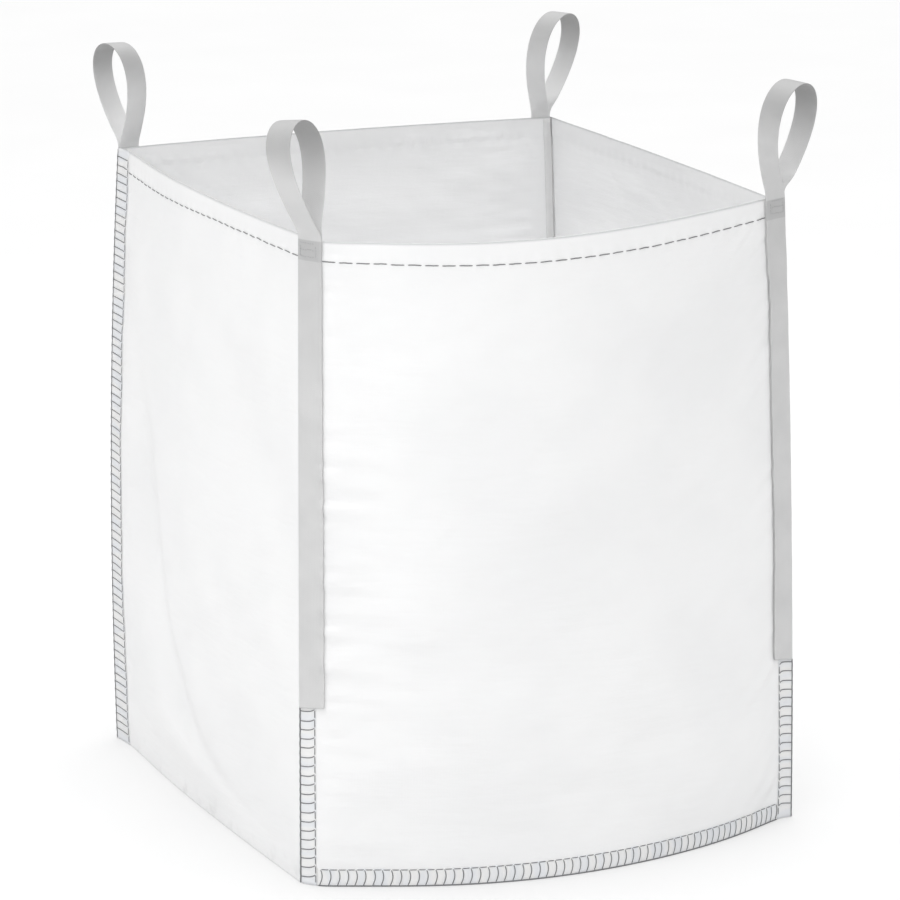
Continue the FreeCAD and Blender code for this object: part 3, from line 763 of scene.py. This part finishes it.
def build_tape(corner, wall, end, material):
    """Tape over the seam on the inside of a corner."""
    side = np.linspace(-1, 1, 9)
    z = np.linspace(0.003, RIM - 0.003, 150)
    over_hem = smooth((z - RIM + HEM_TURN + 0.008) / 0.006)[None, :]
    distance = 0.0008 + 0.0010 * over_hem + (side[:, None] + 1) / 2 * TAPE
    depth = -CLOTH - 0.00075 - 0.0009 * over_hem
    grid = lay(wall, from_corner(wall, end, distance, z[None, :]), z[None, :], depth)
    uv = np.stack(np.broadcast_arrays(distance, z[None, :]), -1)
    if end:
        grid, uv = grid[::-1], uv[::-1]
    tape = build_cloth(f"{corner}_seam_tape", grid, crowned(side, 0.0005)[:, None], uv, material)
    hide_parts(f"{corner}_inner_tape")


# ---------------------------------------------------------------- straps and lifting loops

HINGE = 0.0092          # height above the rim of the line the loop bends about
FOOT = 0.016            # height over which the flat legs settle into the loop
STRAP_INSET = 0.002     # a strap's edge, in from the corner
GATHER = 0.035          # height over which a strap is gathered below the rim


def strap_layers(over_binding):
    """Distances off the cloth of the middles of the inner and outer leg."""
    under = 0.0011 if over_binding else 0.00015
    inner = under + WEBBING_HALF
    return inner, inner + 2 * WEBBING_HALF + 0.00015


def loop_line(corner, theta):
    """Middle line of the free loop and the direction across the webbing, for theta from 0 to 2 pi."""
    strap = STRAPS[corner]
    inner, outer = strap_layers(strap["over_binding"])
    middle_z = RIM + HINGE
    wall, middle = strap["wall"], STRAP_INSET + WEBBING / 2 * strap["foot_width"]
    place = from_corner(wall, strap["end"], middle, middle_z)
    base = lay(wall, place, middle_z, (inner + outer) / 2)
    off = facing(wall, place, middle_z)
    height = strap["height"] - HINGE
    share = (1 - np.cos(theta)) / 2
    wanted = math.radians(strap["crest_turn"] + (0 if wall == "front" else 180))
    twisted = smooth(share / np.where(theta < math.pi, *strap["twist"]))[:, None]
    flat = np.array([-off[1], off[0], 0.0]) * strap["foot_width"]
    crest = np.array([math.cos(wanted), math.sin(wanted), 0.0])
    across = flat * (1 - twisted) + crest * twisted
    across[:, 2] = strap["crest_rise"] / (WEBBING / 2) * share ** 2
    swing = np.array([-crest[1], crest[0], 0.0])
    apart = -strap["spread"] * np.sin(theta) * np.sin(theta / 2) ** strap["slimness"]
    stack = (outer - inner) / 2 * np.cos(theta / 2)
    lean = np.array([*strap["lean"], 0.0]) * share[:, None]
    line = base + swing * apart[:, None] + off * stack[:, None] + lean
    line[:, 2] += height * share
    return line, across


def strap_grid(corner):
    """Middle surface of one whole strap: up the outer leg, round the loop, down the inner leg. Gives the
    places across it (-1 to 1), the surface and the length along it."""
    strap = STRAPS[corner]
    wall, end = strap["wall"], strap["end"]
    inner, outer = strap_layers(strap["over_binding"])
    side = np.concatenate([[-1, -0.985, -0.94], np.linspace(-0.86, 0.86, 13), [0.94, 0.985, 1]])
    across = (side + 1) / 2 * WEBBING
    if end:
        across = across[::-1]
    bottom, top = STRAP_BOTTOM + strap["end_rise"], RIM + HINGE
    z = np.concatenate([np.linspace(bottom, RIM - 0.05, 110), np.linspace(RIM - 0.05, top, 22)[1:]])
    width = 1 - (1 - strap["foot_width"]) * smooth((z - RIM + GATHER) / GATHER)
    place = STRAP_INSET + across[:, None] * width[None, :]
    askew = strap["end_slope"] * side[:, None] / 2 * smooth(1 - (z - bottom) / 0.03)[None, :]
    distance = from_corner(wall, end, place, z[None, :])
    legs = [lay(wall, distance, z[None, :] + askew, out) for out in (outer, inner)]
    share = np.linspace(0, 1, 161)
    theta = 2 * math.pi * (share - 0.028 * np.sin(2 * math.pi * share))
    line, across = loop_line(corner, theta)
    loop = line[None] + across[None] * (side * WEBBING / 2)[:, None, None]
    settled = smooth((1 - np.cos(theta)) / 2 * strap["height"] / FOOT)
    rising = theta < math.pi
    for leg, start, near in ((legs[0], loop[:, 0], rising), (legs[1], loop[:, -1], ~rising)):
        gap = leg[:, -1] - start
        loop = loop + gap[:, None] * ((1 - settled) * near)[None, :, None]
    grid = np.concatenate([legs[0], loop[:, 1:-1], legs[1][:, ::-1]], axis=1)
    return side, *even_strap(grid, side)


def even_strap(grid, side):
    """The same strap with evenly spaced columns, eased where the legs bend into the loop."""
    middle = grid[len(side) // 2]
    along = np.concatenate([[0], np.cumsum(np.linalg.norm(np.diff(middle, axis=0), axis=-1))])
    even = np.linspace(0, along[-1], int(along[-1] / 0.003))
    grid = np.stack([np.stack([np.interp(even, along, row[:, k]) for k in range(3)], -1) for row in grid])
    height = grid[len(side) // 2, :, 2] - RIM
    ease = (smooth((height + 0.012) / 0.010) * smooth((0.045 - height) / 0.015))[None, :, None]
    for _ in range(12):
        eased = grid.copy()
        eased[:, 1:-1] = (grid[:, :-2] + 2 * grid[:, 1:-1] + grid[:, 2:]) / 4
        grid = grid + (eased - grid) * ease
    return grid, even


def build_strap(corner, materials):
    """One strip of webbing: up the outer leg, round the loop and down the inner leg."""
    wall = STRAPS[corner]["wall"]
    side, grid, along = strap_grid(corner)
    height = grid[len(side) // 2, :, 2]
    climb = slice(0, int(np.argmax(height)))
    rim_place = np.interp(RIM, height[climb], along[climb])
    uv = np.stack(np.broadcast_arrays((side[:, None] + 1) / 2 * WEBBING, (along - rim_place)[None, :]), -1)
    half = crowned(side, WEBBING_HALF)[:, None]
    crest = smooth((grid[:, :, 2] - RIM - 0.09) / (STRAPS[corner]["height"] - 0.09))
    inside = smooth((grid[:, :, 2] - RIM - 0.01) / 0.10)
    # Painted shade on the loop: the crest darker on both faces, the inside of the loop darker on its back
    # face.
    wear_and_shade = (0.85 * crest, 0.12 * inside + 0.80 * crest)
    webbing = materials[f"{wall}_webbing"]
    strap = build_cloth(f"{corner}_strap", grid, half, uv, webbing, body=None, wear_and_shade=wear_and_shade)
    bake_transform(strap)
    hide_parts(f"{corner}_webbing_outer_leg", f"{corner}_webbing_inner_leg", f"{corner}_loop")


def build_box_stitch(corner, material):
    """Rows of short stitches that tack the strap to the rim."""
    wall, end = STRAPS[corner]["wall"], STRAPS[corner]["end"]
    out = strap_layers(STRAPS[corner]["over_binding"])[1] + WEBBING_HALF + 0.00030
    margin, width, drop, height = 0.0075, 0.030, 0.005, 0.022
    dash, pitch = 0.0036, 0.0046
    share = np.linspace(0, 1, 9)[None, :]
    level = out - 0.0005 * np.abs(2 * share - 1) ** 4
    rows = []
    for row in range(3):
        first = margin + pitch * np.arange(int(width / pitch))[:, None]
        z = RIM - drop - height * row / 2 + 0.0008 * dents(first, first * 0 + row, 0.003, 0.3, 95)
        rows.append(threads_on(wall, end, first + share * dash, z + 0 * share, level))
    for column in (0, 1):
        first = RIM - drop - height + pitch * np.arange(int(height / pitch))[:, None]
        place = margin + column * width + 0.0006 * dents(first, first * 0 + column, 0.003, 0.3, 96)
        rows.append(threads_on(wall, end, place + 0 * share, first + share * dash, level))
    stitch = build_threads(f"{corner}_tack_stitches", rows, material, 0.0008, 0.0006)
    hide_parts(f"{corner}_box_stitch")


# ---------------------------------------------------------------- the bag

def build_bag():
    cloth = fabric_material()
    materials = {
        "binding": binding_material(),
        "seam_thread": thread_material("seam_thread", 0.20, 0.04),
        "front_webbing": webbing_material("woven_webbing", 0.0),
        "back_webbing": webbing_material("faded_woven_webbing", 0.11),
    }
    for wall in ("front", "back"):
        panel = build_sewn_panel(wall, cloth)
    build_u_cloth(cloth)
    for corner, wall, end in (("front_left", "front", 0), ("front_right", "front", 1)):
        cover = STRAP_BOTTOM + STRAPS[corner]["end_rise"] - 0.001
        build_upright_seam(corner, wall, end, BINDING, cover, materials)
    for corner, wall, end in (("back_left", "left", 0), ("back_right", "right", 1)):
        build_upright_seam(corner, wall, end, BACK_BINDING, RIM - 0.001, materials)
    build_bottom_seam("front_bottom", "front", BINDING + 0.0004, materials)
    build_bottom_seam("back_bottom", "back", 0.0004, materials)
    hem_thread = thread_material("hem_thread", 0.22, 0.02)
    build_hem("front", HEM_LINE, WEBBING + 0.0008, WEBBING + 0.0008, hem_thread)
    build_hem("back", HEM_LINE, WEBBING + 0.0008, WEBBING + 0.0008, hem_thread)
    build_hem("left", HEM_LINE - 0.003, BACK_BINDING + 0.004, 0.004, hem_thread)
    build_hem("right", HEM_LINE, 0.004, BACK_BINDING + 0.004, hem_thread)
    tack_thread = thread_material("tack_thread", 0.42, 0.03)
    tape = tape_material()
    for corner, strap in STRAPS.items():
        build_strap(corner, materials)
        build_box_stitch(corner, tack_thread)
        build_tape(corner, strap["wall"], strap["end"], tape)


# ---------------------------------------------------------------- studio

FLOOR_GLOW = 0.30
FLOOR_LEVEL = -0.0005
SKY_LOW, SKY_HIGH = 0.15, 2.2       # the studio's light at the horizon, and what is added overhead
SOFTBOX_DISTANCE = 4.0
SOFTBOXES = {                       # direction, size and power
    "key": ((-1.6, -1.0, 1.3), 1.2, 12.4),
    "front": ((-1.0, -1.5, 0.75), 1.2, 14.0),
    "overhead": ((0.2, 0.4, 3.0), 2.5, 33.0),
}


def build_floor():
    """A pale floor that is nearly as bright as the light round it."""
    rings, sides = [0.6, 1.2, 3.0, 10.0, 30.0], 64
    around = np.arange(sides) / sides * 2 * math.pi
    points = [(0.0, 0.0, FLOOR_LEVEL)]
    points += [(r * math.cos(a), r * math.sin(a), FLOOR_LEVEL) for r in rings for a in around]
    faces = [(0, 1 + k, 1 + (k + 1) % sides) for k in range(sides)]
    for ring in range(len(rings) - 1):
        start = 1 + sides * ring
        faces += [(start + k, start + sides + k, start + sides + (k + 1) % sides, start + (k + 1) % sides)
                  for k in range(sides)]
    mesh = bpy.data.meshes.new("floor")
    mesh.from_pydata(points, [], faces)
    floor = bpy.data.objects.new("floor", mesh)
    bpy.context.scene.collection.objects.link(floor)
    nodes = Nodes("pale_floor")
    tone = nodes.mix(nodes.noise(nodes.place(), 2.0), grey(0.52), grey(0.55))
    mesh.materials.append(nodes.finish(Base_Color=tone, Roughness=0.9, Emission_Color=(1, 1, 1, 1),
                                       Emission_Strength=FLOOR_GLOW))


def add_softbox(name, direction, size, power):
    """A large soft light that faces the middle of the bag."""
    data = bpy.data.lights.new(name, "AREA")
    data.shape, data.size, data.energy = "SQUARE", size, power
    lamp = bpy.data.objects.new(name, data)
    middle = Vector((0, 0, RIM / 2))
    lamp.location = middle + Vector(direction).normalized() * SOFTBOX_DISTANCE
    lamp.rotation_euler = (middle - lamp.location).to_track_quat("-Z", "Y").to_euler()
    bpy.context.scene.collection.objects.link(lamp)


def build_light():
    """An even pale studio, brighter overhead, with softboxes at the left, in front and above."""
    world = bpy.data.worlds.new("studio")
    world.use_nodes = True
    tree = world.node_tree
    place = tree.nodes.new("ShaderNodeTexCoord")
    parts = tree.nodes.new("ShaderNodeSeparateXYZ")
    square = tree.nodes.new("ShaderNodeMath")
    square.operation = "MULTIPLY"
    glow = tree.nodes.new("ShaderNodeMath")
    glow.operation = "MULTIPLY_ADD"
    glow.inputs[1].default_value, glow.inputs[2].default_value = SKY_HIGH, SKY_LOW
    tree.links.new(place.outputs["Generated"], parts.inputs[0])
    tree.links.new(parts.outputs[2], square.inputs[0])
    tree.links.new(parts.outputs[2], square.inputs[1])
    tree.links.new(square.outputs[0], glow.inputs[0])
    background = tree.nodes["Background"]
    background.inputs["Color"].default_value = (1, 1, 1, 1)
    tree.links.new(glow.outputs[0], background.inputs["Strength"])
    bpy.context.scene.world = world
    bpy.context.scene.view_settings.view_transform = "Standard"
    for name, (direction, size, power) in SOFTBOXES.items():
        add_softbox(name, direction, size, power)


def build_camera():
    """Looks down at the bag from the front left; placed by its bearing, its tilt and its distance."""
    bearing, tilt, distance = math.radians(23.67), math.radians(13.65), 8.177
    aim = Vector((0.0189, 0.0, 0.6003))
    level = math.cos(tilt)
    ahead = Vector((math.sin(bearing) * level, math.cos(bearing) * level, -math.sin(tilt)))
    data = bpy.data.cameras.new("camera")
    data.lens, data.sensor_width = 184.9, 36.0
    camera = bpy.data.objects.new("camera", data)
    camera.location = aim - ahead * distance
    camera.rotation_euler = ahead.to_track_quat("-Z", "Y").to_euler()
    bpy.context.scene.collection.objects.link(camera)
    bpy.context.scene.camera = camera


build_camera()
build_bag()
build_floor()
build_light()
